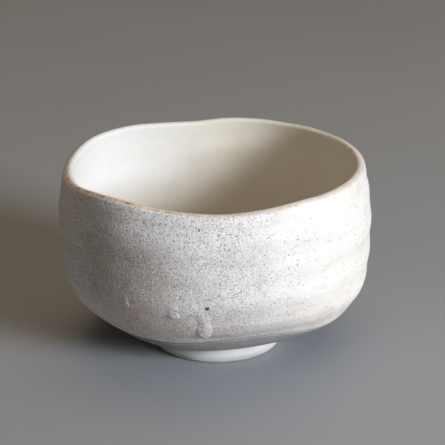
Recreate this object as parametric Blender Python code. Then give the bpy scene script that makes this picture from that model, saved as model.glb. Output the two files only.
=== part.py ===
"""A hand-shaped matcha bowl (chawan) of pale slipped and glazed stoneware.

The bowl is built up the way a potter builds it: a thrown clay body, a foot ring luted
under it, a thin coat of glaze inside and another outside, slip on the underside and the
foot, and three runs of glaze that stopped low on the wall.

Metres, +Z up. The origin is in the middle of the plane that the foot ring stands on.
The front of the bowl, with the three runs, faces -Y.
"""

import math

import bmesh
import bpy
from mathutils import Vector

MM = 0.001

# The clay body, outside. The turn is the edge low on the bowl where the wall goes over
# into the underside; the belly is its widest level and the lip its top.
LIP_HEIGHT = 74.2 * MM
TURN_HEIGHT = 13.4 * MM
TURN_RADIUS = 44.4 * MM
BELLY_RADIUS = 59.3 * MM
LIP_RADIUS = 56.3 * MM
BELLY_LEVEL = 0.70          # share of the way up from the turn to the lip
BELLY_FULLNESS = 3.9        # how quickly the wall swells out above the turn
LIP_CURL = 1.7              # how late the wall leans in below the lip
UNDERSIDE_SWELL = 1.7 * MM  # how far the underside bulges between foot and turn
SWELL_LEAN = 0.5            # how far out the bulge goes for each 1 that it goes down
WALL_MIDDLE = Vector((1.2 * MM, 1.0 * MM, 0.0))     # a little off the foot, as thrown

# The clay body, inside
WALL_THICKNESS = 5.4 * MM   # at the foot of the inner wall
LIP_THICKNESS = 2.4 * MM
FLOOR_THICKNESS = 6.0 * MM
POOL_RADIUS = 15.0 * MM     # the nearly flat pool in the middle of the floor
POOL_DIP = 0.8 * MM
HOLLOW_FOOT = 0.30          # share of the outer wall level with the foot of the inner wall

# The foot ring
FOOT_HEIGHT = 7.2 * MM
FOOT_BOTTOM_RADIUS = 25.0 * MM
FOOT_TOP_RADIUS = 24.8 * MM
FOOT_WALL = 5.5 * MM
FOOT_BEVEL = 0.9 * MM

# Out-of-round, in lobes of (count, depth, bearing of the first lobe in degrees).
# Bearings turn from +X towards +Y.
TURN_OUT_OF_ROUND = ((1, 4.4 * MM, 117), (2, 3.0 * MM, 163))
TURN_RISE = ((1, 1.2 * MM, 278), (2, 0.6 * MM, 80), (3, 1.9 * MM, 59))
BELLY_OUT_OF_ROUND = ((1, 1.3 * MM, 172), (2, 1.3 * MM, 38))
LIP_OUT_OF_ROUND = ((1, 3.9 * MM, 236), (2, 1.3 * MM, 25), (3, 0.5 * MM, 42), (4, 0.8 * MM, 62),
                    (5, 0.5 * MM, 7))
LIP_RISE = ((1, 1.9 * MM, 71), (2, 0.4 * MM, 87), (3, 0.6 * MM, 1), (4, 0.8 * MM, 48),
            (5, 0.5 * MM, 10))

# The coats
COAT = 0.5 * MM             # thickness of slip and glaze
COAT_EDGE = 0.15 * MM       # what is left of it at a coat's edge
GAP = 0.3 * MM              # between solids that touch on the real bowl
GLAZE_TOP = 0.985           # share of the wall where both glazes stop under the lip
GLAZE_BOTTOM = 0.012        # share of the wall where the outer glaze stops above the turn
SLIP_INSIDE = 0.04          # shares of the underside where its slip starts at the foot
SLIP_OUTSIDE = 0.96         # and stops at the turn
FOOT_SLIP_BARE = 1.6 * MM   # bare clay left at the bottom of the foot ring

# The glaze runs: bearing in degrees, shares of the wall at the run's top and bottom,
# width and depth
RUNS = {
    "glaze_run_left": (235.5, 0.46, 0.34, 3.2 * MM, 0.5 * MM),
    "glaze_run_middle": (254.0, 0.42, 0.30, 4.4 * MM, 0.6 * MM),
    "glaze_run_right": (264.0, 0.37, 0.08, 6.0 * MM, 1.1 * MM),
}

BEAD_LATENESS = 2.2         # how far down a run its bead is, 1 for halfway
TAIL_FULLNESS = 0.25        # the share of the bead's section that is left in the tail
RUN_END = 0.12              # how blunt a run's two ends are, as a share of its width

# Colour, roughness and metallic value of each finish
CLAY = ((0.56, 0.47, 0.37), 0.85, 0.0)
GLAZE = ((0.66, 0.62, 0.55), 0.6, 0.0)
INNER_GLAZE = ((0.72, 0.68, 0.58), 0.5, 0.0)
SLIP = ((0.68, 0.66, 0.61), 0.8, 0.0)

# Worked out from the sizes above
SEAT_HEIGHT = FOOT_HEIGHT + GAP
SEAT_RADIUS = FOOT_TOP_RADIUS + COAT + 2 * GAP

# How finely the solids are faceted
BEARINGS = 48
UNDERSIDE_PLACES = (SLIP_INSIDE, 0.25, 0.5, 0.75, SLIP_OUTSIDE)
WALL_PLACES = (GLAZE_BOTTOM, 0.05, 0.10, 0.17, 0.27, 0.39, 0.55, 0.70, 0.82, 0.92, GLAZE_TOP)
HOLLOW_PLACES = (0.5, 1.0, 1.25, 1.5, 1.75, 2.0, 2.2, 2.4, 2.6, 2.8, 2.0 + GLAZE_TOP)
LIP_STATIONS = 7
FOOT_SLIP_STATIONS = 3
RUN_STATIONS = 9
RUN_SIDES = 6
EPSILON = 1e-4              # step used to read a surface's slope


# ---------------------------------------------------------------- shape of the clay

def blend(start, end, value):
    """0 below start, 1 above end, with a soft S between them."""
    share = min(max((value - start) / (end - start), 0.0), 1.0)
    return share * share * (3.0 - 2.0 * share)


def lobes(waves, bearing):
    """How far a hand-made round swells out, or rises, at one bearing."""
    return sum(depth * math.cos(count * (bearing - math.radians(first)))
               for count, depth, first in waves)


def true_radius(share):
    """The wall's radius before any hand pressed it, from the turn (0) to the lip (1)."""
    if share < BELLY_LEVEL:
        left = 1.0 - share / BELLY_LEVEL
        return BELLY_RADIUS - (BELLY_RADIUS - TURN_RADIUS) * left ** BELLY_FULLNESS
    above = (share - BELLY_LEVEL) / (1.0 - BELLY_LEVEL)
    return BELLY_RADIUS - (BELLY_RADIUS - LIP_RADIUS) * above ** LIP_CURL


def wall_radius(share, bearing):
    """The outside radius of the pressed wall."""
    near_turn = 1.0 - blend(0.0, 0.5, share)
    near_lip = blend(0.45, 1.0, share)
    return (true_radius(share)
            + near_turn * lobes(TURN_OUT_OF_ROUND, bearing)
            + near_lip * lobes(LIP_OUT_OF_ROUND, bearing)
            + (1.0 - near_turn - near_lip) * lobes(BELLY_OUT_OF_ROUND, bearing))


def turn_height(bearing):
    """The height of the turn at one bearing."""
    return TURN_HEIGHT + lobes(TURN_RISE, bearing)


def lip_height(bearing):
    """The height of the lip's crest at one bearing."""
    return LIP_HEIGHT + lobes(LIP_RISE, bearing)


def around(radius, bearing, height):
    """A point at a radius and bearing about the foot's axis."""
    return Vector((radius * math.cos(bearing), radius * math.sin(bearing), height))


def wall(share, bearing):
    """The clay's outside, from the turn (0) up to the shoulder of the lip (1)."""
    shoulder = lip_height(bearing) - LIP_THICKNESS / 2
    height = turn_height(bearing) + (shoulder - turn_height(bearing)) * share
    return WALL_MIDDLE + around(wall_radius(share, bearing), bearing, height)


def underside(share, bearing):
    """The clay's underside, from the foot ring (0) out to the turn (1)."""
    seat = around(SEAT_RADIUS, bearing, SEAT_HEIGHT)
    swell = UNDERSIDE_SWELL * math.sin(math.pi * share)
    down_and_out = around(SWELL_LEAN, bearing, -1.0).normalized()
    return seat.lerp(wall(0.0, bearing), share) + down_and_out * swell


def hollow(stretch, bearing):
    """The clay's inside: 0 to 1 is the pool, 1 to 2 the turn of the floor, 2 to 3 the wall."""
    floor = SEAT_HEIGHT + FLOOR_THICKNESS
    if stretch <= 1.0:
        height = floor - POOL_DIP * (1.0 - stretch ** 2)
        return WALL_MIDDLE + around(POOL_RADIUS * stretch, bearing, height)
    climb = max(stretch - 2.0, 0.0)
    share = HOLLOW_FOOT + (1.0 - HOLLOW_FOOT) * climb
    thickness = WALL_THICKNESS + (LIP_THICKNESS - WALL_THICKNESS) * climb
    height = wall(share, bearing).z
    radius = wall_radius(share, bearing) - thickness
    if stretch < 2.0:
        turned = (stretch - 1.0) * math.pi / 2
        radius = POOL_RADIUS + (radius - POOL_RADIUS) * math.sin(turned)
        height -= (height - floor) * math.cos(turned)
    return WALL_MIDDLE + around(radius, bearing, height)


def lip(turned, bearing):
    """The rounded lip: from the outer shoulder (0) over the crest to the inner one (pi)."""
    round_radius = LIP_THICKNESS / 2
    radius = wall_radius(1.0, bearing) - round_radius + round_radius * math.cos(turned)
    height = wall(1.0, bearing).z + round_radius * math.sin(turned)
    return WALL_MIDDLE + around(radius, bearing, height)


def lifted(surface, place, bearing, lift):
    """A point off the clay. A positive lift goes out of the wall, a negative one inwards."""
    along = surface(place, bearing + EPSILON) - surface(place, bearing - EPSILON)
    up = surface(place + EPSILON, bearing) - surface(place - EPSILON, bearing)
    return surface(place, bearing) + along.cross(up).normalized() * lift


# ---------------------------------------------------------------- making solids

def ring(surface, place, lift=0.0):
    """One row of points around the bowl."""
    bearings = (2 * math.pi * station / BEARINGS for station in range(BEARINGS))
    if lift == 0.0:
        return [surface(place, bearing) for bearing in bearings]
    return [lifted(surface, place, bearing, lift) for bearing in bearings]


def spread(start, end, count):
    """Evenly spaced places from start to end."""
    return [start + (end - start) * step / (count - 1) for step in range(count)]


def add_solid(name, mesh, finish, sharp_degrees):
    """Turn a bmesh into a named object with its own material."""
    bmesh.ops.recalc_face_normals(mesh, faces=mesh.faces)
    # Splitting every quad the same way keeps the gap even where clay and coat are twisted.
    bmesh.ops.triangulate(mesh, faces=mesh.faces, quad_method="SHORT_EDGE")
    data = bpy.data.meshes.new(name)
    mesh.to_mesh(data)
    mesh.free()
    data.shade_smooth()
    data.set_sharp_from_angle(angle=math.radians(sharp_degrees))
    colour, roughness, metallic = finish
    material = bpy.data.materials.new(name)
    material.use_nodes = True
    shader = material.node_tree.nodes["Principled BSDF"]
    shader.inputs["Base Color"].default_value = (*colour, 1.0)
    shader.inputs["Roughness"].default_value = roughness
    shader.inputs["Metallic"].default_value = metallic
    data.materials.append(material)
    made = bpy.data.objects.new(name, data)
    bpy.context.scene.collection.objects.link(made)
    return made


def add_turned(name, rows, finish, first_pole=None, last_pole=None, sharp_degrees=50.0):
    """Skin a stack of rings. It closes at a pole at either end, or end to end without poles."""
    mesh = bmesh.new()
    loops = [[mesh.verts.new(point) for point in row] for row in rows]
    pairs = list(zip(loops, loops[1:]))
    if first_pole is None:
        pairs.append((loops[-1], loops[0]))
    for lower, upper in pairs:
        for here in range(len(lower)):
            after = (here + 1) % len(lower)
            mesh.faces.new((lower[here], lower[after], upper[after], upper[here]))
    for pole, loop in ((first_pole, loops[0]), (last_pole, loops[-1])):
        if pole is not None:
            centre = mesh.verts.new(pole)
            for here in range(len(loop)):
                mesh.faces.new((loop[here], loop[(here + 1) % len(loop)], centre))
    return add_solid(name, mesh, finish, sharp_degrees)


def coat_rows(surface, places):
    """The two faces of a coat over part of a surface, thinned to an edge at both ends."""
    last = len(places) - 1
    thick = [COAT_EDGE if step in (0, last) else COAT for step in range(len(places))]
    face = [ring(surface, place, GAP + depth) for place, depth in zip(places, thick)]
    back = [ring(surface, place, GAP) for place in reversed(places)]
    return face + back


# ---------------------------------------------------------------- the pieces

def make_clay_body():
    """The thrown bowl: floor, wall and lip in one piece of stoneware."""
    rows = [ring(underside, share) for share in (0.0,) + UNDERSIDE_PLACES]
    rows += [ring(wall, share) for share in (0.0,) + WALL_PLACES]
    rows += [ring(lip, turned) for turned in spread(0.0, math.pi, LIP_STATIONS)]
    rows += [ring(hollow, stretch) for stretch in reversed(HOLLOW_PLACES)]
    under_middle = Vector((0.0, 0.0, SEAT_HEIGHT))
    add_turned("clay_body", rows, CLAY, under_middle, hollow(0.0, 0.0), sharp_degrees=40.0)


def foot_row(radius, height):
    """One true round row of points about the foot's axis."""
    return [around(radius, 2 * math.pi * station / BEARINGS, height)
            for station in range(BEARINGS)]


def make_foot_ring():
    """The ring of clay luted under the body, bevelled where it meets the table."""
    inside = FOOT_BOTTOM_RADIUS - FOOT_WALL
    rows = [
        foot_row(inside + FOOT_BEVEL, 0.0),
        foot_row(FOOT_BOTTOM_RADIUS - FOOT_BEVEL, 0.0),
        foot_row(FOOT_BOTTOM_RADIUS, FOOT_BEVEL),
        foot_row(FOOT_TOP_RADIUS, FOOT_HEIGHT),
        foot_row(inside, FOOT_HEIGHT),
        foot_row(inside, FOOT_BEVEL),
    ]
    add_turned("foot_ring", rows, CLAY, sharp_degrees=25.0)


def make_glaze_coats():
    """One coat of glaze over the outside of the wall and one over the whole inside."""
    add_turned("outer_glaze", coat_rows(wall, WALL_PLACES), GLAZE)

    rows = [ring(hollow, place, -GAP) for place in HOLLOW_PLACES]
    rows += [ring(hollow, HOLLOW_PLACES[-1], -GAP - COAT_EDGE)]
    rows += [ring(hollow, place, -GAP - COAT) for place in reversed(HOLLOW_PLACES[:-1])]
    back = hollow(0.0, 0.0) + Vector((0.0, 0.0, GAP))
    face = back + Vector((0.0, 0.0, COAT))
    add_turned("inner_glaze", rows, INNER_GLAZE, back, face)


def make_slips():
    """White slip brushed on the underside, and on the outside of the foot ring."""
    add_turned("underside_slip", coat_rows(underside, UNDERSIDE_PLACES), SLIP)

    taper = (FOOT_TOP_RADIUS - FOOT_BOTTOM_RADIUS) / (FOOT_HEIGHT - FOOT_BEVEL)
    heights = spread(FOOT_SLIP_BARE, FOOT_HEIGHT - GAP, FOOT_SLIP_STATIONS)
    square = math.hypot(1.0, taper)     # a level distance for each 1 square to the slope
    clay_radius = [FOOT_BOTTOM_RADIUS + taper * (height - FOOT_BEVEL) for height in heights]
    lifts = [GAP + COAT_EDGE] + [GAP + COAT] * (FOOT_SLIP_STATIONS - 1)
    rows = [foot_row(radius + lift * square, height)
            for radius, lift, height in zip(clay_radius, lifts, heights)]
    rows += [foot_row(radius + GAP * square, height)
             for radius, height in reversed(list(zip(clay_radius, heights)))]
    add_turned("foot_slip", rows, SLIP, sharp_degrees=30.0)


def make_glaze_run(name, bearing_degrees, top, bottom, width, depth):
    """A run of glaze: a thin tail that widens down to a rounded bead."""
    bearing = math.radians(bearing_degrees)
    base = GAP + COAT + GAP
    half_turns = [math.pi * step / RUN_SIDES for step in range(RUN_SIDES + 1)]
    rows = []
    for down in spread(0.0, 1.0, RUN_STATIONS):
        bead = math.sin(math.pi * down ** BEAD_LATENESS)
        tail = TAIL_FULLNESS * math.sin(math.pi * down)
        fullness = max(bead, tail, RUN_END ** 2) ** 0.5
        share = top + (bottom - top) * down
        half_angle = width / 2 * fullness / wall_radius(share, bearing)
        face = [(turned, COAT_EDGE + (depth - COAT_EDGE) * fullness * math.sin(turned))
                for turned in half_turns]
        back = [(turned, 0.0) for turned in reversed(half_turns)]
        rows.append([lifted(wall, share, bearing - half_angle * math.cos(turned), base + height)
                     for turned, height in face + back])
    middles = [sum(row, Vector()) / len(row) for row in (rows[0], rows[-1])]
    add_turned(name, rows, GLAZE, *middles)


def make_bowl():
    """Clear the scene and make the bowl's nine pieces."""
    for old in list(bpy.data.objects):
        bpy.data.objects.remove(old, do_unlink=True)
    make_clay_body()
    make_foot_ring()
    make_glaze_coats()
    make_slips()
    for name, sizes in RUNS.items():
        make_glaze_run(name, *sizes)


make_bowl()
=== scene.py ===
import math

import bpy
import numpy as np
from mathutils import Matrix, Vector, noise


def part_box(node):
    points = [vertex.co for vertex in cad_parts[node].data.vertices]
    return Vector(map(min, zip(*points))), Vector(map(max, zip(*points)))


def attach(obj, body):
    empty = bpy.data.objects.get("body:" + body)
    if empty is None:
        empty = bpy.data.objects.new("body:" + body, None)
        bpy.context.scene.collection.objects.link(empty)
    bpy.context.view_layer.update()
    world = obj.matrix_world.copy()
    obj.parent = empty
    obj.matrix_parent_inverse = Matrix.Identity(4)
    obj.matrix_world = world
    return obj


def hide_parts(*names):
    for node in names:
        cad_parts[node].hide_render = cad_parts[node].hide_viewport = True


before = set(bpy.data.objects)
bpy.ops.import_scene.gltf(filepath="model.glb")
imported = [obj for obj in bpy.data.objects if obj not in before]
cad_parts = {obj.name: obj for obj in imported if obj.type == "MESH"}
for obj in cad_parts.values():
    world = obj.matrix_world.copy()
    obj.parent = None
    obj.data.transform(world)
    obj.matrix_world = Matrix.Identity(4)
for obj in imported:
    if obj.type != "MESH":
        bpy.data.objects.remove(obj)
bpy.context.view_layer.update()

MM = 0.001


# ---------------------------------------------------------------- the clay body
# The thrown bowl of sandy stoneware: floor, wall and lip in one piece, pressed out of round
# by hand while wet. It shows only as a toasted line on the lip, as a thin line where the
# coats stop low on the bowl, and under the foot.

SEAT_GAP = 0.3 * MM
SEAT_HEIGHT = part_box("foot_ring")[1].z + SEAT_GAP
FOOT_BOTTOM_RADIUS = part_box("foot_ring")[1].x
FOOT_TOP_RADIUS = FOOT_BOTTOM_RADIUS - 0.2 * MM
WALL_MIDDLE = np.array((1.2 * MM, 1.0 * MM, 0.0))

LIP_HEIGHT = 74.2 * MM
TURN_HEIGHT = 13.4 * MM
TURN_RADIUS = 44.4 * MM
BELLY_RADIUS = 59.3 * MM
LIP_RADIUS = 56.3 * MM
BELLY_LEVEL = 0.70
BELLY_FULLNESS = 3.9
LIP_CURL = 1.7
UNDERSIDE_START = 1.1 * MM  # how far out from the foot ring's top the underside begins
UNDERSIDE_SWELL = 1.7 * MM
SWELL_OUT, SWELL_UP = 0.447, -0.894     # the way the swell goes: out, and steeply down
WALL_THICKNESS = 5.4 * MM
LIP_THICKNESS = 2.4 * MM
FLOOR_THICKNESS = 6.0 * MM
POOL_RADIUS = 15.0 * MM
POOL_DIP = 0.8 * MM
HOLLOW_FOOT = 0.30          # share of the wall at which the inside turns into the floor
COVER = 0.68 * MM           # how far the coats' faces stand off the clay

# Out-of-round, in lobes of (count, depth, bearing of the first lobe in degrees)
TURN_OUT_OF_ROUND = ((1, 4.4 * MM, 117), (2, 3.0 * MM, 163))
TURN_RISE = ((1, 1.2 * MM, 278), (2, 0.6 * MM, 80), (3, 1.9 * MM, 59))
BELLY_OUT_OF_ROUND = ((1, 1.3 * MM, 172), (2, 1.3 * MM, 38))
LIP_OUT_OF_ROUND = ((1, 3.9 * MM, 236), (2, 1.3 * MM, 25), (3, 0.5 * MM, 42), (4, 0.8 * MM, 62),
                    (5, 0.5 * MM, 7))
LIP_RISE = ((1, 1.9 * MM, 71), (2, 0.4 * MM, 87), (3, 0.6 * MM, 1), (4, 0.8 * MM, 48),
            (5, 0.5 * MM, 10))
LIP_WAVER = ((7, 0.14 * MM, 31), (10, 0.11 * MM, 12), (17, 0.06 * MM, 5))
LIP_WAVER_DROP = 0.22 * MM  # lowers the waver, which keeps its crests inside the CAD's height

AROUND_THE_BOWL = np.linspace(0.0, 2 * math.pi, 720, endpoint=False)[None, :]
SHARP_EDGE = math.radians(50.0)


def soft_step(start, end, value):
    """0 below start, 1 above end, with a soft S between them."""
    share = np.clip((value - start) / (end - start), 0.0, 1.0)
    return share * share * (3.0 - 2.0 * share)


def lobes(waves, bearing):
    """How far a hand-made round swells out, or rises, at one bearing."""
    return sum(depth * np.cos(count * (bearing - math.radians(first)))
               for count, depth, first in waves)


def at_place(radius, bearing, height):
    """Points at radii and bearings about the foot's axis."""
    radius, bearing, height = np.broadcast_arrays(radius, bearing, height)
    return np.stack((radius * np.cos(bearing), radius * np.sin(bearing), height), axis=-1)


def wall_radius(share, bearing):
    """The clay's outside radius, from the turn (0) to the shoulder of the lip (1)."""
    left = np.clip(1.0 - share / BELLY_LEVEL, 0.0, 1.0)
    above = np.clip((share - BELLY_LEVEL) / (1.0 - BELLY_LEVEL), 0.0, None)
    true_radius = (BELLY_RADIUS
                   - (BELLY_RADIUS - TURN_RADIUS) * left ** BELLY_FULLNESS
                   - (BELLY_RADIUS - LIP_RADIUS) * above ** LIP_CURL)
    near_turn = 1.0 - soft_step(0.0, 0.5, share)
    near_lip = soft_step(0.45, 1.0, share)
    return (true_radius
            + near_turn * lobes(TURN_OUT_OF_ROUND, bearing)
            + near_lip * lobes(LIP_OUT_OF_ROUND, bearing)
            + (1.0 - near_turn - near_lip) * lobes(BELLY_OUT_OF_ROUND, bearing))


def wall(share, bearing):
    """The clay's outside, from the turn (0) up to the shoulder of the lip (1)."""
    turn = TURN_HEIGHT + lobes(TURN_RISE, bearing)
    waver = lobes(LIP_WAVER, bearing) - LIP_WAVER_DROP
    shoulder = LIP_HEIGHT + lobes(LIP_RISE, bearing) + waver - LIP_THICKNESS / 2
    return WALL_MIDDLE + at_place(wall_radius(share, bearing), bearing,
                                  turn + (shoulder - turn) * share)


def underside(share, bearing):
    """The clay's underside, from the foot ring (0) out to the turn (1)."""
    seat = at_place(FOOT_TOP_RADIUS + UNDERSIDE_START, bearing, SEAT_HEIGHT)
    swell = UNDERSIDE_SWELL * np.sin(np.pi * share)
    down_and_out = at_place(SWELL_OUT, bearing, SWELL_UP)
    share, swell = np.asarray(share)[..., None], np.asarray(swell)[..., None]
    return seat + (wall(0.0, bearing) - seat) * share + down_and_out * swell


def hollow(stretch, bearing):
    """The clay's inside: 0 to 1 is the pool, 1 to 2 the turn of the floor, 2 to 3 the wall."""
    floor = SEAT_HEIGHT + FLOOR_THICKNESS
    climb = np.clip(stretch - 2.0, 0.0, 1.1)
    share = HOLLOW_FOOT + (1.0 - HOLLOW_FOOT) * climb
    thickness = WALL_THICKNESS + (LIP_THICKNESS - WALL_THICKNESS) * climb
    top = wall(share, bearing)[..., 2]
    turned = np.clip(stretch - 1.0, 0.0, 1.0) * np.pi / 2
    reach = wall_radius(share, bearing) - thickness - POOL_RADIUS
    pool = np.clip(stretch, 0.0, 1.0)
    radius = POOL_RADIUS * pool + reach * np.sin(turned)
    height = top - (top - floor) * np.cos(turned) - POOL_DIP * (1.0 - pool ** 2)
    return WALL_MIDDLE + at_place(radius, bearing, height)


def lip(turned, bearing):
    """The rounded lip: from the outer shoulder (0) over the crest to the inner one (pi)."""
    half = LIP_THICKNESS / 2
    stout = half + COVER * np.abs(np.cos(turned))
    # It leans as the wall below it does, outside and inside, so that it joins both smoothly
    near = 0.01
    shoulder, below = wall(1.0, bearing)[..., 2], wall(1.0 - near, bearing)[..., 2]
    climb = (shoulder - below) / near
    lean = (wall_radius(1.0, bearing) - wall_radius(1.0 - near, bearing)) / near / climb
    taper = (WALL_THICKNESS - LIP_THICKNESS) / (1.0 - HOLLOW_FOOT) / climb
    lean = lean + taper * turned / np.pi
    rise = half * np.sin(turned)
    radius = wall_radius(1.0, bearing) - half + stout * np.cos(turned) + lean * rise
    return WALL_MIDDLE + at_place(radius, bearing, shoulder + rise)


def lifted(surface, place, bearing, lift):
    """Points off the clay. A positive lift goes out of the wall, a negative one inwards."""
    near = 1e-4
    along = surface(place, bearing + near) - surface(place, bearing - near)
    up = surface(place + near, bearing) - surface(place - near, bearing)
    outward = np.cross(along, up)
    outward /= np.linalg.norm(outward, axis=-1, keepdims=True)
    return surface(place, bearing) + outward * np.asarray(lift)[..., None]


def down_the_column(places):
    """Places as a column, so that they cross the bearings into a grid."""
    return np.asarray(places, float)[:, None]


def skin(name, rows, first_pole=None, last_pole=None, levels=None):
    """A mesh over rows of points. It closes at poles, or end to end where there are none."""
    row_count, column_count = rows.shape[:2]
    grid = np.arange(row_count * column_count).reshape(row_count, column_count)
    stacked = grid if first_pole is not None else np.vstack((grid, grid[:1]))
    low, high = stacked[:-1], stacked[1:]
    after = np.roll(np.arange(column_count), -1)
    faces = np.stack((low, low[:, after], high[:, after], high), axis=-1).reshape(-1, 4).tolist()
    points = rows.reshape(-1, 3).tolist()
    for pole, edge in ((first_pole, grid[0][::-1]), (last_pole, grid[-1])):
        if pole is not None:
            centre = len(points)
            points.append(tuple(pole))
            faces += [(int(edge[here]), int(edge[(here + 1) % column_count]), centre)
                      for here in range(column_count)]
    mesh = bpy.data.meshes.new(name)
    mesh.from_pydata(points, [], faces)
    if levels is not None:
        level = np.zeros(len(points))
        level[:grid.size] = np.broadcast_to(levels, (row_count, column_count)).ravel()
        mesh.attributes.new("level", "FLOAT", "POINT").data.foreach_set("value", level)
    mesh.shade_smooth()
    mesh.set_sharp_from_angle(angle=SHARP_EDGE)
    piece = bpy.data.objects.new(name, mesh)
    bpy.context.scene.collection.objects.link(piece)
    return piece


class Tone:
    """A socket in a finish. Sums on it add Math nodes, and node() adds any other node."""

    def __init__(self, tree, socket=None):
        self.tree = tree
        self.socket = socket

    def node(self, kind, settings=None, sockets=None, output=0):
        made = self.tree.nodes.new(kind)
        for name, value in (settings or {}).items():
            setattr(made, name, value)
        for name, value in (sockets or {}).items():
            if isinstance(value, Tone):
                self.tree.links.new(value.socket, made.inputs[name])
            elif isinstance(value, tuple) and made.inputs[name].type == "RGBA":
                made.inputs[name].default_value = (*value, 1.0)
            else:
                made.inputs[name].default_value = value
        return Tone(self.tree, made.outputs[output])

    def sum(self, operation, first, second):
        return self.node("ShaderNodeMath", {"operation": operation}, {0: first, 1: second})

    def __add__(self, other):
        return self.sum("ADD", self, other)

    def __radd__(self, other):
        return self.sum("ADD", other, self)

    def __sub__(self, other):
        return self.sum("SUBTRACT", self, other)

    def __rsub__(self, other):
        return self.sum("SUBTRACT", other, self)

    def __mul__(self, other):
        return self.sum("MULTIPLY", self, other)

    def __rmul__(self, other):
        return self.sum("MULTIPLY", other, self)

    def step(self, start, end):
        """0 at start and 1 at end, with a soft S between them."""
        return self.node("ShaderNodeMapRange", {"interpolation_type": "SMOOTHSTEP"},
                         {"Value": self, "From Min": start, "From Max": end})

    def over(self, below, colour):
        """This mask's colour laid over the one below it."""
        return self.node("ShaderNodeMix", {"data_type": "RGBA"},
                         {0: self, 6: below, 7: colour}, output=2)


def new_finish(name):
    """A material, and the place on the piece in mm to start its nodes from."""
    material = bpy.data.materials.new(name)
    material.use_nodes = True
    place = Tone(material.node_tree).node("ShaderNodeTexCoord", output="Object")
    return material, place.node("ShaderNodeVectorMath", {"operation": "SCALE"},
                                {0: place, "Scale": 1.0 / MM})


def level_of(place):
    """The level given to skin(): 0 to 1 up the wall, 1 to 2 over the lip."""
    return place.node("ShaderNodeAttribute", {"attribute_name": "level"}, output="Fac")


def along_axis(place, axis):
    """How far along X, Y or Z a place lies, in mm."""
    return place.node("ShaderNodeSeparateXYZ", None, {0: place}, output=axis)


def drawn_out(place, scales):
    """A place scaled on each axis, so that the clouds made from it are long or flat."""
    return place.node("ShaderNodeVectorMath", {"operation": "MULTIPLY"}, {0: place, 1: scales})


def blot(place, centre, core, edge):
    """A round blot: 1 up to core mm from its centre, and 0 from edge mm."""
    away = place.node("ShaderNodeVectorMath", {"operation": "DISTANCE"},
                      {0: place, 1: centre}, output="Value")
    return 1.0 - away.step(core, edge)


def cloud(place, size, detail=2.0, roughness=0.5):
    """Soft patches about size mm across, from 0 to 1."""
    return place.node("ShaderNodeTexNoise", None,
                      {"Vector": place, "Scale": 1.0 / size, "Detail": detail,
                       "Roughness": roughness}, output="Fac")


def specks(place, apart, radius, kept, softness=0.35):
    """Round specks in cells that lie apart mm, up to radius mm, in a kept share of the cells."""
    cells = {"Vector": place, "Scale": 1.0 / apart, "Randomness": 1.0}
    distance = place.node("ShaderNodeTexVoronoi", None, cells, output="Distance")
    chance = place.node("ShaderNodeTexVoronoi", None, cells, output="Color")
    red = place.node("ShaderNodeSeparateColor", None, {"Color": chance}, output="Red")
    green = place.node("ShaderNodeSeparateColor", None, {"Color": chance}, output="Green")
    size = (green * 0.6 + 0.4) * (radius / apart)
    inside = 1.0 - place.node("ShaderNodeMapRange", {"interpolation_type": "SMOOTHSTEP"},
                              {"Value": distance, "From Min": size * (1.0 - softness),
                               "From Max": size})
    there = place.node("ShaderNodeMath", {"operation": "LESS_THAN"}, {0: red, 1: kept})
    return inside * there


def bump(height, strength, depth_mm, below=None):
    """A relief of depth_mm read from a height between 0 and 1."""
    sockets = {"Height": height, "Strength": strength, "Distance": depth_mm * MM}
    if below is not None:
        sockets["Normal"] = below
    return height.node("ShaderNodeBump", None, sockets, output="Normal")


def fire(material, colour, roughness, normal, **constants):
    """Join a finish's colour, roughness and relief to its shader."""
    shader = material.node_tree.nodes["Principled BSDF"]
    links = material.node_tree.links
    links.new(colour.socket, shader.inputs["Base Color"])
    links.new(roughness.socket, shader.inputs["Roughness"])
    links.new(normal.socket, shader.inputs["Normal"])
    for name, value in constants.items():
        shader.inputs[name.replace("_", " ")].default_value = value


CREAM, PALE_CREAM = (0.79, 0.745, 0.665), (0.82, 0.785, 0.72)
STONE_WHITE, PALE_WHITE = (0.79, 0.75, 0.705), (0.86, 0.835, 0.795)
BOUNCE_LIGHT_WHITE = (0.93, 0.85, 0.78)
TAUPE, MAUVE_AND_SHADE, STREAK_AND_RING_SHADE_GREY = (0.58, 0.54, 0.50), (0.52, 0.425, 0.375), (0.53, 0.48, 0.43)
BLUSH, PEACH = (0.68, 0.47, 0.31), (0.80, 0.56, 0.38)
MOTTLE, GRAIN = (0.48, 0.45, 0.42), (0.36, 0.335, 0.31)
BARE_BUBBLE, FINE_IRON, IRON = (0.93, 0.93, 0.92), (0.27, 0.245, 0.22), (0.21, 0.18, 0.155)
BLACK_IRON, IRON_BLOOM = (0.10, 0.075, 0.055), (0.06, 0.05, 0.04)
PEACH_BLOTS = ((-13.0, -52.5, 24.5), (-28.7, -46.0, 28.5))
BLOOM_PLACE = (-3.2, -56.9, 36.4)


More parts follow.
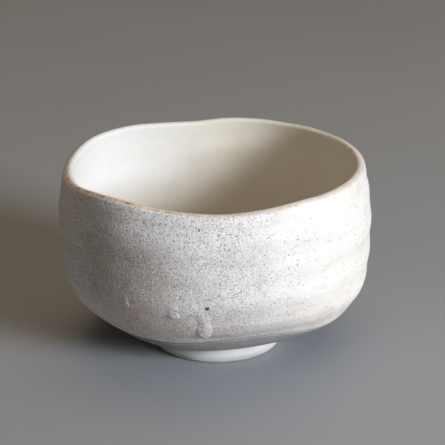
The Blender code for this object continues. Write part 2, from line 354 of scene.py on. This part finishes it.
def speckled_white(place):
    """The outside glaze: its colour, its roughness and its fine relief."""
    level = level_of(place)
    across = along_axis(place, "X")
    left = 1.0 - across.step(0.0, 36.0)
    # Wide bands lie along the throwing rings, so their clouds are drawn out sideways
    wide = cloud(drawn_out(place, (0.45, 0.45, 1.6)), 16.0, 3.0, 0.6)
    patches = cloud(place, 9.0, 4.0, 0.62)
    small = cloud(place, 1.5, 3.0, 0.65)
    grain = cloud(place, 0.55, 3.0, 0.6)

    cream = wide.step(0.3, 0.7).over(CREAM, PALE_CREAM)
    white = wide.step(0.3, 0.7).over(STONE_WHITE, PALE_WHITE)
    colour = left.over(cream, white)
    colour = (patches.step(0.48, 0.76) * 0.40).over(colour, TAUPE)
    # Darker, browner on the left: mauve clouds in the glaze, and painted shade on the far side and
    # in a patch at mid height, where the left faces away from the window
    shaded_far_left = 1.0 - across.step(-45.0, -8.0)
    mauve_and_shade = left * cloud(place, 20.0, 2.0).step(0.42, 0.7) * 0.35 + shaded_far_left * 0.22
    mauve_and_shade = mauve_and_shade * (1.0 - level.step(0.62, 0.92) * 0.85)
    # Painted shade: a darker, browner patch at mid height on the left
    painted_shade_patch = across.step(-54.0, -38.0) * (1.0 - across.step(-28.0, -6.0))
    painted_shade_patch = painted_shade_patch * level.step(0.20, 0.45) * (1.0 - level.step(0.72, 0.95))
    colour = (mauve_and_shade + painted_shade_patch * 0.55).over(colour, MAUVE_AND_SHADE)
    # Thin darker streaks along the throwing rings: partly mottling in the glaze, partly painted
    # shade of the rings
    streaks_and_ring_shade = cloud(drawn_out(place, (0.10, 0.10, 1.0)), 2.6, 4.0, 0.62).step(0.46, 0.70)
    colour = (streaks_and_ring_shade * (left * 0.20 + 0.12)).over(colour, STREAK_AND_RING_SHADE_GREY)
    # Painted light: the wall lighter and warmer low down, where light bounces up from the floor
    colour = ((1.0 - level.step(0.08, 0.60)) * 0.45).over(colour, BOUNCE_LIGHT_WHITE)
    # The peach blush: under the lip, and in patches low on the wall
    blush = cloud(place, 13.0, 3.0, 0.6).step(0.44, 0.72)
    high = level.step(0.84, 1.0) * (left * 0.24 + 0.18)
    low = (1.0 - level.step(0.04, 0.34)) * 0.50
    colour = (blush * (high + low + 0.05)).over(colour, BLUSH)
    for centre in PEACH_BLOTS:
        warm = blot(place, centre, 2.0, 8.0) * small.step(0.30, 0.62) * 0.55
        colour = warm.over(colour, PEACH)
    # Fine mottling, then bubbles and iron specks, thickest on the left
    thick = left * 0.91 + 0.09
    gathered = thick * (cloud(place, 7.0, 2.0).step(0.30, 0.62) * 0.5 + 0.5)
    colour = (small.step(0.46, 0.74) * thick * 0.34).over(colour, MOTTLE)
    colour = (grain.step(0.50, 0.66) * thick * 0.60).over(colour, GRAIN)
    colour = (specks(place, 0.90, 0.40, thick * 0.75) * 0.75).over(colour, BARE_BUBBLE)
    colour = (specks(place, 0.80, 0.40, gathered * 0.95) * 0.76).over(colour, FINE_IRON)
    colour = (specks(place, 1.5, 0.44, gathered * 0.55) * 0.62).over(colour, IRON)
    colour = (specks(place, 6.5, 0.55, thick * 0.26) * 0.85).over(colour, BLACK_IRON)
    # One larger bloom of iron beside the top of the longest run
    colour = (blot(place, BLOOM_PLACE, 0.50, 1.10) * 0.95).over(colour, IRON_BLOOM)

    pinholes = specks(place, 1.25, 0.26, 0.50)
    relief = bump(small, 0.8, 0.24, bump(grain, 1.0, 0.14))
    return colour, 0.52 + small * 0.2, bump(1.0 - pinholes, 0.9, 0.16, relief)


INSIDE_CREAM, PALE_INSIDE = (0.79, 0.735, 0.62), (0.83, 0.79, 0.69)
STRAW, PAINTED_SHADE_TAN, PAINTED_LIGHT_WHITE = (0.76, 0.73, 0.57), (0.64, 0.53, 0.38), (0.80, 0.80, 0.785)
INSIDE_MOTTLE, BROWN_SPECK, DARK_SPECK = (0.66, 0.60, 0.50), (0.42, 0.33, 0.24), (0.26, 0.18, 0.12)


def smooth_cream(place):
    """The inside glaze: its colour, its roughness and its fine relief."""
    up, across = along_axis(place, "Z"), along_axis(place, "X")
    small = cloud(place, 3.0, 3.0, 0.6)
    colour = cloud(place, 22.0, 3.0, 0.55).step(0.35, 0.68).over(INSIDE_CREAM, PALE_INSIDE)
    colour = (cloud(place, 14.0, 2.0).step(0.55, 0.75) * 0.45).over(colour, STRAW)
    # Painted shade: darker and browner down in the bowl, where the inside lies in shade
    colour = ((1.0 - up.step(12.0, 56.0)) * 0.65).over(colour, PAINTED_SHADE_TAN)
    # Painted light: whiter high up on the left, where the window lights the inside
    lit_high_left = (1.0 - across.step(-42.0, 14.0)) * up.step(30.0, 58.0)
    colour = (lit_high_left * 0.75).over(colour, PAINTED_LIGHT_WHITE)
    colour = (small.step(0.5, 0.8) * 0.25).over(colour, INSIDE_MOTTLE)
    colour = specks(place, 2.6, 0.22, 0.28).over(colour, BROWN_SPECK)
    colour = specks(place, 7.5, 0.36, 0.22).over(colour, DARK_SPECK)
    pinholes = specks(place, 1.6, 0.22, 0.35)
    return colour, 0.46 + small * 0.16, bump(1.0 - pinholes, 0.6, 0.08, bump(small, 0.3, 0.12))


BARE_CLAY, PALE_CLAY, CLAY_SAND = (0.58, 0.52, 0.45), (0.66, 0.62, 0.56), (0.40, 0.30, 0.22)
TOASTED_CREST, TOASTED_EDGE = (0.93, 0.75, 0.58), (0.54, 0.30, 0.15)
SCORCHED, BROWNED = (0.22, 0.12, 0.075), (0.40, 0.29, 0.20)


def make_clay_finish():
    """Bare sandy clay low down; on the lip both glazes run thin and the clay is toasted."""
    material, place = new_finish("sandy_stoneware")
    level = level_of(place)
    across, away = along_axis(place, "X"), along_axis(place, "Y")
    sand = cloud(place, 0.6, 3.0)
    bare = cloud(place, 9.0, 3.0, 0.6).step(0.35, 0.65).over(BARE_CLAY, PALE_CLAY)
    bare = sand.step(0.45, 0.75).over(bare, CLAY_SAND)
    outside, rough, relief = speckled_white(place)
    inside = smooth_cream(place)[0]
    colour = level.step(0.985, 0.995).over(bare, outside)
    colour = level.step(1.40, 1.60).over(colour, inside)
    # The toasted line on the crest, strongest at the front left, broken on its outer edge
    streak = cloud(place, 3.0, 3.0, 0.65)
    broken = (streak * 0.8 + cloud(place, 15.0, 2.0) * 0.5).step(0.56, 0.78)
    strength = (1.0 - away.step(-30.0, 25.0)) * (1.0 - across.step(-32.0, 16.0) * 0.85) + 0.04
    crest = level.step(1.18, 1.36) * (1.0 - level.step(1.44, 1.60)) * strength
    edge = level.step(1.20, 1.30) * (1.0 - level.step(1.34, 1.46)) * strength * broken
    colour = (crest * 0.60).over(colour, TOASTED_CREST)
    colour = edge.over(colour, TOASTED_EDGE)
    colour = (edge * streak.step(0.56, 0.68) * 0.8).over(colour, SCORCHED)
    # A browned inner edge at the right, where the lip was pinched into a corner
    corner = across.step(40.0, 50.0) * level.step(1.56, 1.68) * (1.0 - level.step(1.76, 1.90))
    colour = (corner * streak.step(0.42, 0.62) * 0.45).over(colour, BROWNED)
    fire(material, colour, rough, bump(sand, 0.3, 0.08, relief))
    return material


UNDERSIDE_ROWS, WALL_ROWS, LIP_ROWS, HOLLOW_ROWS, FLOOR_ROWS = 30, 40, 28, 16, 12

under_shares = down_the_column(np.linspace(0.0, 1.0, UNDERSIDE_ROWS))
wall_shares = down_the_column(np.linspace(0.02, 1.0, WALL_ROWS))
lip_turns = down_the_column(np.linspace(0.0, np.pi, LIP_ROWS))
hollow_stretches = down_the_column(np.concatenate((
    np.linspace(3.0, 2.0, HOLLOW_ROWS), np.linspace(1.8, 0.4, FLOOR_ROWS))))
clay_rows = np.concatenate((
    underside(under_shares, AROUND_THE_BOWL), wall(wall_shares, AROUND_THE_BOWL),
    lip(lip_turns, AROUND_THE_BOWL), hollow(hollow_stretches, AROUND_THE_BOWL)))
clay_levels = np.concatenate((
    -1.0 + 0.0 * under_shares, np.minimum(wall_shares, 0.97),
    1.0 + lip_turns / np.pi, 2.5 + 0.0 * hollow_stretches))
clay = skin("thrown_body", clay_rows, (0.0, 0.0, SEAT_HEIGHT), hollow(0.0, 0.0), clay_levels)
clay.data.materials.append(make_clay_finish())
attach(clay, "root")
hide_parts("clay_body")


# ---------------------------------------------------------------- the foot ring
# A ring of the same clay under the body, trimmed on the wheel with a bevel where it meets
# the table. It is left bare at the bottom, where it stands, and inside.

FOOT_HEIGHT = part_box("foot_ring")[1].z
FOOT_WALL = 5.5 * MM
FOOT_BEVEL = 0.9 * MM


def foot_radius(height):
    """The clay's outside radius on the foot ring."""
    up = (height - FOOT_BEVEL) / (FOOT_HEIGHT - FOOT_BEVEL)
    return FOOT_BOTTOM_RADIUS + (FOOT_TOP_RADIUS - FOOT_BOTTOM_RADIUS) * up


def uneven(points, size, depth, shift=0.0):
    """Soft bumps about size across and up to depth high, one value for each point."""
    flat = points.reshape(-1, 3) / size + shift
    values = np.array([noise.noise(Vector(point)) for point in flat])
    return depth * values.reshape(points.shape[:-1])


# Bare clay darkened to grey: partly the clay's colour, partly painted shade where the foot meets
# the table
SHADED_FOOT_CLAY, PALE_SHADED_FOOT_CLAY, FOOT_SAND = (0.40, 0.37, 0.33), (0.47, 0.45, 0.41), (0.30, 0.25, 0.20)


def make_foot_finish():
    """Bare clay, darkened by painted shade, with the fine grooves of the trimming tool around it.
    """
    material, place = new_finish("bare_foot_clay")
    sand = cloud(place, 0.5, 3.0)
    patches = cloud(place, 6.0, 3.0)
    up = along_axis(place, "Z")
    groove = up.node("ShaderNodeTexNoise", {"noise_dimensions": "1D"},
                     {"W": up, "Scale": 2.2, "Detail": 2.0}, output="Fac")
    colour = patches.step(0.35, 0.65).over(SHADED_FOOT_CLAY, PALE_SHADED_FOOT_CLAY)
    colour = sand.step(0.55, 0.8).over(colour, FOOT_SAND)
    fire(material, colour, 0.82 - patches * 0.08, bump(groove, 0.4, 0.10, bump(sand, 0.5, 0.10)))
    return material


inside_radius = FOOT_BOTTOM_RADIUS - FOOT_WALL
foot_outline = [
    # The flat that it stands on, eased at both edges
    (inside_radius + 1.0 * MM, 0.05 * MM), (inside_radius + 1.5 * MM, 0.0),
    (FOOT_BOTTOM_RADIUS - 1.5 * MM, 0.0), (FOOT_BOTTOM_RADIUS - FOOT_BEVEL, 0.06 * MM),
    # The bevel, and the outside above it
    (FOOT_BOTTOM_RADIUS - 0.25 * MM, 0.62 * MM), (FOOT_BOTTOM_RADIUS, 1.1 * MM),
    *((foot_radius(height), height) for height in np.linspace(1.5 * MM, FOOT_HEIGHT, 8)),
    # The inside, down to where it is eased again
    (inside_radius, FOOT_HEIGHT), (inside_radius, 3.0 * MM), (inside_radius, 1.2 * MM),
    (inside_radius + 0.3 * MM, 0.5 * MM),
]
foot_rows = [at_place(radius, AROUND_THE_BOWL, height) for radius, height in foot_outline]
foot = skin("foot_ring_clay", np.concatenate(foot_rows))
foot.data.materials.append(make_foot_finish())
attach(foot, "root")
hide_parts("foot_ring")


# ---------------------------------------------------------------- the white slip
# Thin white clay, brushed on while the bowl turned: over the underside from the foot out
# to the turn, and round the outside of the foot ring down to a bare rim.

FOOT_SLIP_BARE = 1.5 * MM    # how far above the table the foot's slip stops
EDGE_THINNING = 0.3 * MM     # how much thinner the slip is at its edges
SUNK = 0.1 * MM              # how far the backs of the coats reach into the clay
SLIP_IRON = (0.20, 0.15, 0.12)


def make_slip_finish(name, thick, thin):
    """Brushed slip with trimming lines that run round the foot's axis, and a few specks."""
    material, place = new_finish(name)
    ring_plane = drawn_out(place, (1.0, 1.0, 0.0))
    spread = place.node("ShaderNodeVectorMath", {"operation": "LENGTH"}, {0: ring_plane},
                        output="Value")
    across = spread + along_axis(place, "Z") * 0.8
    trimming = across.node("ShaderNodeTexNoise", {"noise_dimensions": "1D"},
                           {"W": across, "Scale": 1.1, "Detail": 4.0, "Roughness": 0.65},
                           output="Fac")
    patches = cloud(place, 7.0, 3.0, 0.6)
    colour = patches.step(0.3, 0.7).over(thin, thick)
    colour = (trimming.step(0.5, 0.85) * 0.4).over(colour, tuple(0.75 * part for part in thin))
    colour = specks(place, 2.6, 0.30, 0.35).over(colour, SLIP_IRON)
    relief = bump(trimming, 0.6, 0.22, bump(cloud(place, 0.45, 2.0), 0.35, 0.06))
    fire(material, colour, 0.60 + patches * 0.15, relief)
    return material


slip_shares = down_the_column(np.linspace(0.005, 0.985, 60))
slip_edges = soft_step(0.06, 0.0, slip_shares) + soft_step(0.95, 1.0, slip_shares)
slip_face = lifted(underside, slip_shares, AROUND_THE_BOWL, COVER - EDGE_THINNING * slip_edges)
slip_back = lifted(underside, slip_shares[::-6], AROUND_THE_BOWL, -SUNK)
underside_slip = skin("underside_white_slip", np.concatenate((slip_face, slip_back)))
# The white slip darkened to grey: painted shade on the underside, which faces down away from the
# light
shaded_underside_slip = make_slip_finish("underside_slip_painted_shade", (0.34, 0.325, 0.31), (0.28, 0.265, 0.25))
underside_slip.data.materials.append(shaded_underside_slip)
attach(underside_slip, "root")
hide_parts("underside_slip")

slip_heights = down_the_column(np.linspace(FOOT_SLIP_BARE, FOOT_HEIGHT + 0.4 * MM, 14))
low = 1.0 - soft_step(FOOT_SLIP_BARE, FOOT_SLIP_BARE + 1.2 * MM, slip_heights)
wavy_edge = 0.25 * MM * np.sin(5 * AROUND_THE_BOWL + 1.0) + 0.15 * MM * np.sin(11 * AROUND_THE_BOWL)
foot_face = at_place(foot_radius(slip_heights) + COVER * (1.0 - 0.75 * low), AROUND_THE_BOWL,
                     slip_heights + low * wavy_edge)
back_heights = down_the_column(np.append(slip_heights[::-4], FOOT_SLIP_BARE))
back_wave = wavy_edge * (back_heights == FOOT_SLIP_BARE)
foot_back = at_place(foot_radius(back_heights) - SUNK, AROUND_THE_BOWL, back_heights + back_wave)
foot_slip = skin("foot_white_slip", np.concatenate((foot_face, foot_back)))
thick_slip = make_slip_finish("thick_white_slip", (0.63, 0.61, 0.585), (0.55, 0.53, 0.50))
foot_slip.data.materials.append(thick_slip)
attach(foot_slip, "root")
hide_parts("foot_slip")


# ---------------------------------------------------------------- the inside glaze
# A smooth cream glaze poured inside and swirled, from the middle of the pool up to the lip.
# The spiral of the potter's fingers still shows softly through it.

SPIRAL_PITCH = 9.0 * MM
SPIRAL_DEPTH = 0.13 * MM
STRETCH_LENGTH = 22.0 * MM   # roughly how long each stretch of the hollow is
TUCK = 0.006                 # how far past the wall's top the glaze is tucked into the lip


def make_inner_finish():
    material, place = new_finish("cream_inside_glaze")
    fire(material, *smooth_cream(place), Coat_Weight=0.12, Coat_Roughness=0.3)
    return material


def inside_relief(stretch, bearing, points):
    """The finger spiral and the soft unevenness of the hollow, fading out at the lip."""
    spiral = np.cos(2 * np.pi * stretch * STRETCH_LENGTH / SPIRAL_PITCH - bearing)
    fade = soft_step(0.3, 1.2, stretch) * (1.0 - soft_step(2.7, 2.97, stretch))
    return fade * (SPIRAL_DEPTH * spiral + uneven(points, 14 * MM, 0.30 * MM))


face_stretches = down_the_column(np.concatenate((
    (3.0 + TUCK, 3.0 + TUCK / 2), np.linspace(3.0, 2.0, 60), np.linspace(1.98, 1.0, 40),
    np.linspace(0.96, 0.04, 16))))
face_lift = COVER - 0.055 * MM * soft_step(2.998, 3.0 + TUCK, face_stretches)
face_points = hollow(face_stretches, AROUND_THE_BOWL)
face_lift = face_lift - inside_relief(face_stretches, AROUND_THE_BOWL, face_points)
inner_face = lifted(hollow, face_stretches, AROUND_THE_BOWL, -face_lift)
back_stretches = down_the_column((0.05, 0.5, 1.0, 1.25, 1.5, 1.75, 2.0, 2.25, 2.5, 2.75, 2.97))
inner_back = lifted(hollow, back_stretches, AROUND_THE_BOWL, SUNK)
middle, upright = hollow(0.0, 0.0), np.array((0.0, 0.0, 1.0))
inner_glaze = skin("inside_cream_glaze", np.concatenate((inner_back, inner_face)),
                   middle - upright * SUNK, middle + upright * COVER)
inner_glaze.data.materials.append(make_inner_finish())
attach(inner_glaze, "root")
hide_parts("inner_glaze")


# ---------------------------------------------------------------- the outside glaze
# A matte white glaze poured over iron-bearing clay, from under the lip down to the turn. Iron
# specks it, it blushes peach where it is thin, and it is pinholed. The rings of the potter's
# fingers show under it, most of all on the right.

RING_PITCH = 12.3 * MM
FIRST_RING = 39.4 * MM
RING_DEPTH, MORE_ON_THE_RIGHT = 0.07 * MM, 0.19 * MM
LEAST_RELIEF, MOST_RELIEF = -0.13 * MM, -0.62 * MM
PIT_COUNT = 130
THINNEST_GLAZE = 0.12 * MM


def wall_relief(share, bearing):
    """Throwing rings and hand-made unevenness, faded out at the lip and at the turn."""
    points = wall(share, bearing)
    phase = 2 * np.pi * (points[..., 2] - FIRST_RING) / RING_PITCH - bearing
    to_the_right = 0.5 + 0.5 * np.cos(bearing + 0.3)
    rings = (RING_DEPTH + MORE_ON_THE_RIGHT * to_the_right) * (np.cos(phase) - 1.0)
    soft = uneven(points, 16 * MM, 0.36 * MM) + uneven(points, 5 * MM, 0.10 * MM, 9.0)
    fade = soft_step(0.0, 0.06, share) * (1.0 - soft_step(0.90, 0.985, share))
    return fade * np.clip(rings + soft - 0.12 * MM, MOST_RELIEF, LEAST_RELIEF)


def pits(points, count, seed):
    """Small round pits where gas broke through the glaze, as depths at each point."""
    random = np.random.default_rng(seed)
    depth = np.zeros(points.shape[:-1])
    rows, columns = depth.shape
    for row, column, size in zip(random.integers(8, rows - 8, count),
                                 random.integers(0, columns, count),
                                 random.uniform(0.5, 0.95, count) * MM):
        near = slice(row - 4, row + 5)
        distance = np.linalg.norm(points[near] - points[row, column], axis=-1)
        dent = 0.30 * size * (1.0 - soft_step(0.0, 1.0, distance / size))
        depth[near] = np.maximum(depth[near], dent)
    return depth


def make_outer_finish():
    material, place = new_finish("speckled_white_glaze")
    fire(material, *speckled_white(place))
    return material


glaze_shares = down_the_column(np.linspace(0.008, 1.0, 122))
glaze_points = wall(glaze_shares, AROUND_THE_BOWL)
top_thinning = 0.06 * MM * soft_step(0.98, 1.0, glaze_shares)
foot_thinning = 0.45 * MM * soft_step(0.022, 0.008, glaze_shares)
glaze_lift = COVER - top_thinning - foot_thinning + wall_relief(glaze_shares, AROUND_THE_BOWL)
glaze_lift = np.maximum(glaze_lift - pits(glaze_points, PIT_COUNT, seed=4), THINNEST_GLAZE)
glaze_face = lifted(wall, glaze_shares, AROUND_THE_BOWL, glaze_lift)
back_shares = down_the_column(np.linspace(1.0, 0.008, 9))
glaze_back = lifted(wall, back_shares, AROUND_THE_BOWL, -SUNK)
outer_glaze = skin("outside_speckled_glaze", np.concatenate((glaze_face, glaze_back)),
                   levels=np.concatenate((glaze_shares, back_shares)))
outer_finish = make_outer_finish()
outer_glaze.data.materials.append(outer_finish)
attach(outer_glaze, "root")
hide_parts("outer_glaze")


# ---------------------------------------------------------------- the glaze runs
# Three runs where the wet glaze gathered and slid down the front before it froze. The right
# one ends in a rounded bead just above the turn; the other two are shorter and flatter.

RUNS = {
    # CAD node: bearing in degrees, shares of the wall at its top and bottom, width, depth
    "glaze_run_left": (235.5, 0.46, 0.34, 3.3 * MM, 0.5 * MM),
    "glaze_run_middle": (253.5, 0.43, 0.30, 5.6 * MM, 0.7 * MM),
    "glaze_run_right": (263.8, 0.375, 0.08, 7.3 * MM, 1.1 * MM),
}
RUN_LUMPS = 0.22 * MM
RUN_RIM_SUNK, RUN_BACK_SUNK = 0.05 * MM, 0.3 * MM
BEAD_START = 0.74            # share of the run's length at which it starts to round off
RUN_ROWS, RUN_COLUMNS = 90, 41


def glaze_run(name, bearing_degrees, top, bottom, width, depth):
    """A tongue of glaze that thickens downwards to a bead, its rim sunk in the glaze."""
    down = down_the_column(np.linspace(0.0, 1.0, RUN_ROWS))
    aside = np.linspace(1.0, -1.0, RUN_COLUMNS)[None, :]
    ending = np.clip((down - BEAD_START) / (1.0 - BEAD_START), 0.0, 1.0)
    rounded = np.sqrt(1.0 - ending ** 2)
    wavy = 0.92 + 0.08 * np.sin(13.0 * down + bearing_degrees)
    breadth = np.maximum((0.88 + 0.12 * soft_step(0.4, 0.8, down)) * wavy * rounded, 0.02)
    breadth = breadth * (0.60 + 0.40 * soft_step(0.0, 0.25, down))
    fullness = (0.46 * soft_step(0.0, 0.30, down) + 0.54 * soft_step(0.45, 0.84, down)) * rounded
    share = top + (bottom - top) * down + 0.0 * aside
    sway = 0.10 * np.sin(5.0 * down)
    bearing = math.radians(bearing_degrees) + (aside * breadth + sway) * width / 2 / BELLY_RADIUS
    crown = (1.0 - aside ** 2) ** (0.85 - 0.35 * soft_step(0.5, 0.85, down)) * fullness
    base = COVER + wall_relief(share, bearing)
    swell = (depth - 0.20 * MM + uneven(wall(share, bearing), 2.2 * MM, RUN_LUMPS)) * crown
    face = lifted(wall, share, bearing, base + swell - RUN_RIM_SUNK)
    back = lifted(wall, share, bearing, base - RUN_BACK_SUNK)
    rows = np.concatenate((face, back[:, ::-1]), axis=1)
    piece = skin(name, rows, rows[0].mean(axis=0), rows[-1].mean(axis=0),
                 np.concatenate((share, share[:, ::-1]), axis=1))
    piece.data.materials.append(outer_finish)
    return piece


for node, sizes in RUNS.items():
    run = glaze_run(node.replace("glaze_run", "white_run"), *sizes)
    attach(run, "root")
    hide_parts(node)


# ---------------------------------------------------------------- the room
# A plain pale floor, a soft window of light low on the right and in front, a weak
# warm light above, and the camera at the height of someone sitting at the table.

FLOOR_REACH = 4.0            # metres each way from the bowl
FLOOR_GREY, PALE_FLOOR_GREY = (0.335, 0.345, 0.36), (0.365, 0.375, 0.39)


def make_floor_finish():
    material, place = new_finish("pale_floor")
    soft = cloud(place, 160.0, 2.0)
    colour = soft.over(FLOOR_GREY, PALE_FLOOR_GREY)
    fire(material, colour, 0.75 + soft * 0.05, bump(cloud(place, 3.0), 0.05, 0.05))
    return material


floor_mesh = bpy.data.meshes.new("floor")
floor_mesh.from_pydata([(across * FLOOR_REACH, away * FLOOR_REACH, 0.0)
                        for across, away in ((-1, -1), (1, -1), (1, 1), (-1, 1))],
                       [], [(0, 1, 2, 3)])
floor = bpy.data.objects.new("floor", floor_mesh)
bpy.context.scene.collection.objects.link(floor)
floor.data.materials.append(make_floor_finish())

BOWL_MIDDLE = Vector((0.0, 0.0, 0.05))
CAMERA_PLACE = Vector((1.2, -531.0, 238.7)) * MM
CAMERA_LENS, FILM_WIDTH = 117.8, 36.0        # mm, as the camera's own values are
CAMERA_DIP, CAMERA_TURN = 0.344, -0.0023     # radians below level, and to the right


def soft_light(name, bearing_degrees, rise_degrees, distance, size, power, colour):
    """A square lamp aimed at the bowl: distance and size in metres, power in watts."""
    bearing, rise = math.radians(bearing_degrees), math.radians(rise_degrees)
    towards = Vector((math.cos(rise) * math.cos(bearing), math.cos(rise) * math.sin(bearing),
                      math.sin(rise)))
    lamp = bpy.data.lights.new(name, "AREA")
    lamp.size = size
    lamp.energy = power
    lamp.color = colour
    light = bpy.data.objects.new(name, lamp)
    light.location = BOWL_MIDDLE + towards * distance
    light.rotation_euler = towards.to_track_quat("Z", "Y").to_euler()
    bpy.context.scene.collection.objects.link(light)


soft_light("window", -41.0, 17.5, distance=1.6, size=0.50, power=30.0, colour=(0.94, 1.0, 1.10))
soft_light("ceiling", 100.0, 75.0, distance=2.2, size=1.8, power=12.0, colour=(1.0, 0.78, 0.50))

world = bpy.data.worlds.new("room")
bpy.context.scene.world = world
world.use_nodes = True
walls = world.node_tree.nodes["Background"]
walls.inputs["Color"].default_value = (1.0, 0.90, 0.78, 1.0)
walls.inputs["Strength"].default_value = 0.10
bpy.context.scene.view_settings.view_transform = "Standard"

camera_data = bpy.data.cameras.new("camera")
camera_data.lens = CAMERA_LENS
camera_data.sensor_width = FILM_WIDTH
camera = bpy.data.objects.new("camera", camera_data)
camera.location = CAMERA_PLACE
camera.rotation_euler = (math.pi / 2 - CAMERA_DIP, 0.0, CAMERA_TURN)
bpy.context.scene.collection.objects.link(camera)
bpy.context.scene.camera = camera
